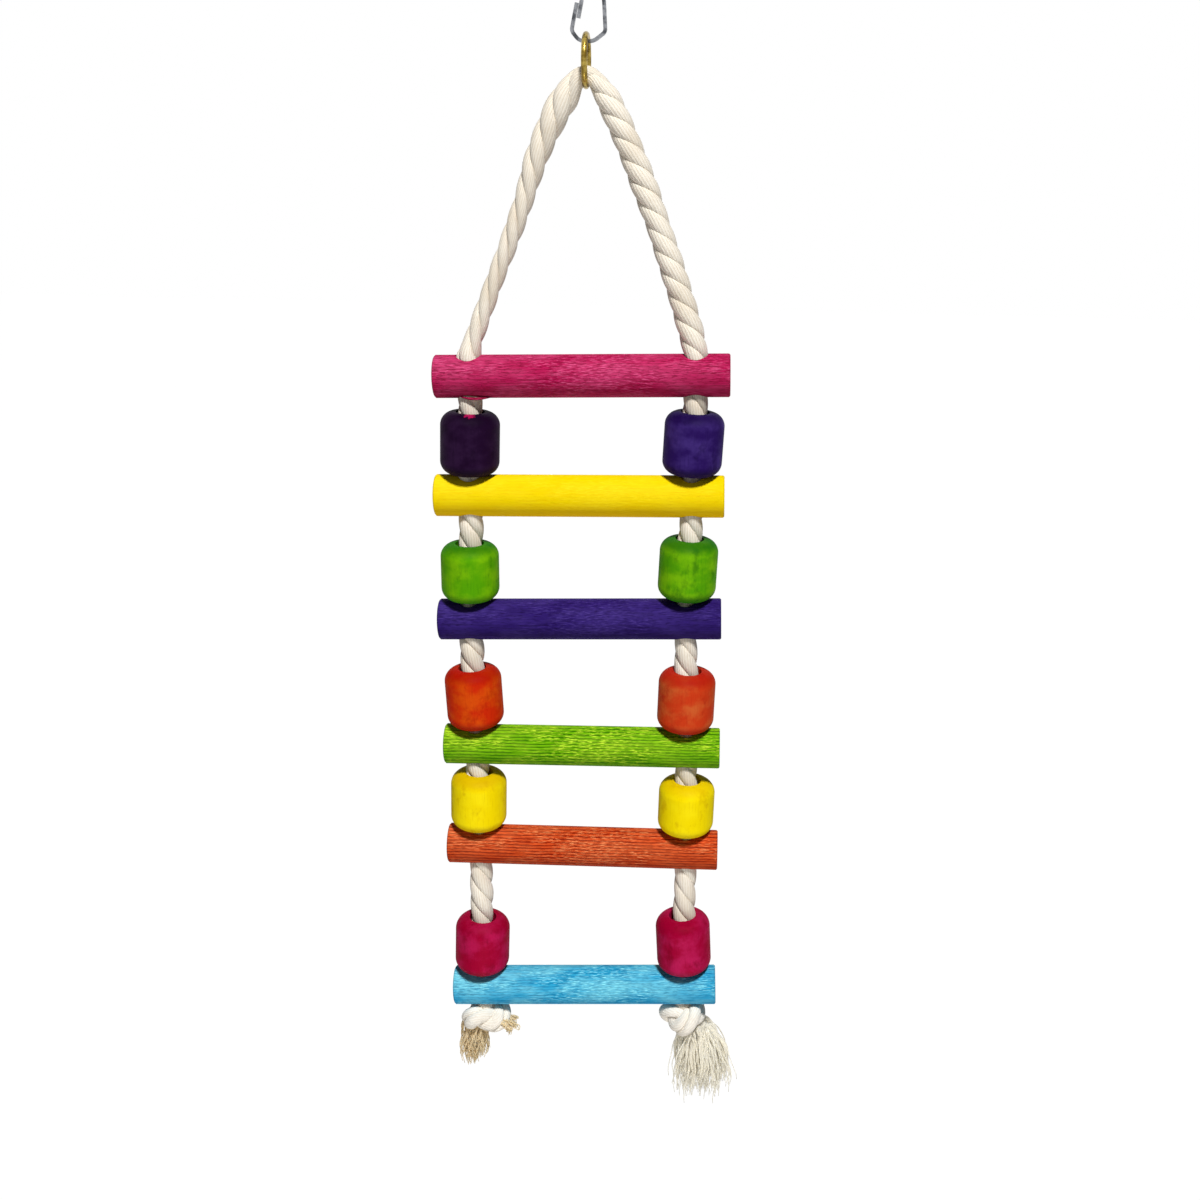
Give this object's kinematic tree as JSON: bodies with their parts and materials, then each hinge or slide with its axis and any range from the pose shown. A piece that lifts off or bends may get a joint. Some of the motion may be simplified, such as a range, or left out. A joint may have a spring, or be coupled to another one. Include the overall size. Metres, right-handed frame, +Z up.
{
  "type": "bird ladder swing",
  "caption": "Hanging rope ladder swing for a cage bird: coloured wooden rungs and loose beads on one laid cotton rope, hung from a ring and spring clip.",
  "frame": {"origin": "hanging point: the inside top of the clip, where a hook or cage bar carries it", "axes": "+Z up, X along the rungs with +X to the right seen from the front, -Y the front"},
  "size_m": [0.1329, 0.0244, 0.4979],
  "materials": {
    "clip": "bright nickel-plated spring steel, lightly scuffed",
    "ring": "plain drawn brass wire",
    "rope": "natural three-strand laid cotton",
    "rung_1_magenta": "stained softwood dowel, grain showing",
    "rung_2_yellow": "stained softwood dowel, grain showing",
    "rung_3_purple": "stained softwood dowel, grain showing",
    "rung_4_green": "stained softwood dowel, grain showing",
    "rung_5_orange": "stained softwood dowel, grain showing",
    "rung_6_blue": "stained softwood dowel, grain showing",
    "bead_1_left_plum": "mottled dye on a turned wooden bead",
    "bead_1_right_violet": "mottled dye on a turned wooden bead",
    "bead_green": "mottled dye on a turned wooden bead",
    "bead_red": "mottled dye on a turned wooden bead",
    "bead_yellow": "mottled dye on a turned wooden bead",
    "bead_crimson": "mottled dye on a turned wooden bead"
  },
  "bodies": {
    "clip": {"clip": "clip"},
    "ring": {"ring": "ring"},
    "ladder": {"rope": "rope", "rung_1_magenta": "rung_1_magenta", "rung_2_yellow": "rung_2_yellow", "rung_3_purple": "rung_3_purple", "rung_4_green": "rung_4_green", "rung_5_orange": "rung_5_orange", "rung_6_blue": "rung_6_blue"},
    "bead_1_left": {"bead_1_left_plum": "bead_1_left_plum"},
    "bead_1_right": {"bead_1_right_violet": "bead_1_right_violet"},
    "bead_2_left": {"bead_2_left_green": "bead_green"},
    "bead_2_right": {"bead_2_right_green": "bead_green"},
    "bead_3_left": {"bead_3_left_red": "bead_red"},
    "bead_3_right": {"bead_3_right_red": "bead_red"},
    "bead_4_left": {"bead_4_left_yellow": "bead_yellow"},
    "bead_4_right": {"bead_4_right_yellow": "bead_yellow"},
    "bead_5_left": {"bead_5_left_crimson": "bead_crimson"},
    "bead_5_right": {"bead_5_right_crimson": "bead_crimson"}
  },
  "joints": [
    {"name": "ring_swing", "type": "hinge", "parent": "clip", "child": "ring", "pos_m": [-0.001, 0, -0.0267], "axis": [1, 0, 0], "range_deg": [-60, 60]},
    {"name": "ladder_swing", "type": "hinge", "parent": "ring", "child": "ladder", "pos_m": [-0.001, 0, -0.04291], "axis": [0, 1, 0], "range_deg": [-30, 30]},
    {"name": "bead_1_left_slide", "type": "slide", "parent": "ladder", "child": "bead_1_left", "axis": [0.0231, 0, 0.9997], "range_m": [0, 0.005]},
    {"name": "bead_1_right_slide", "type": "slide", "parent": "ladder", "child": "bead_1_right", "axis": [0.0224, 0, 0.9997], "range_m": [0, 0.0052]},
    {"name": "bead_2_left_slide", "type": "slide", "parent": "ladder", "child": "bead_2_left", "axis": [0.0425, 0, 0.9991], "range_m": [0, 0.0115]},
    {"name": "bead_2_right_slide", "type": "slide", "parent": "ladder", "child": "bead_2_right", "axis": [0.0444, 0, 0.999], "range_m": [0, 0.0085]},
    {"name": "bead_3_left_slide", "type": "slide", "parent": "ladder", "child": "bead_3_left", "axis": [-0.0282, 0, 0.9996], "range_m": [0, 0.0127]},
    {"name": "bead_3_right_slide", "type": "slide", "parent": "ladder", "child": "bead_3_right", "axis": [-0.0281, 0, 0.9996], "range_m": [0, 0.0139]},
    {"name": "bead_4_left_slide", "type": "slide", "parent": "ladder", "child": "bead_4_left", "axis": [-0.0275, 0, 0.9996], "range_m": [0, 0.0038]},
    {"name": "bead_4_right_slide", "type": "slide", "parent": "ladder", "child": "bead_4_right", "axis": [-0.0272, 0, 0.9996], "range_m": [0, 0.0059]},
    {"name": "bead_5_left_slide", "type": "slide", "parent": "ladder", "child": "bead_5_left", "axis": [0.0012, 0, 1], "range_m": [0, 0.0276]},
    {"name": "bead_5_right_slide", "type": "slide", "parent": "ladder", "child": "bead_5_right", "axis": [0.0033, 0, 1], "range_m": [0, 0.0234]}
  ]
}
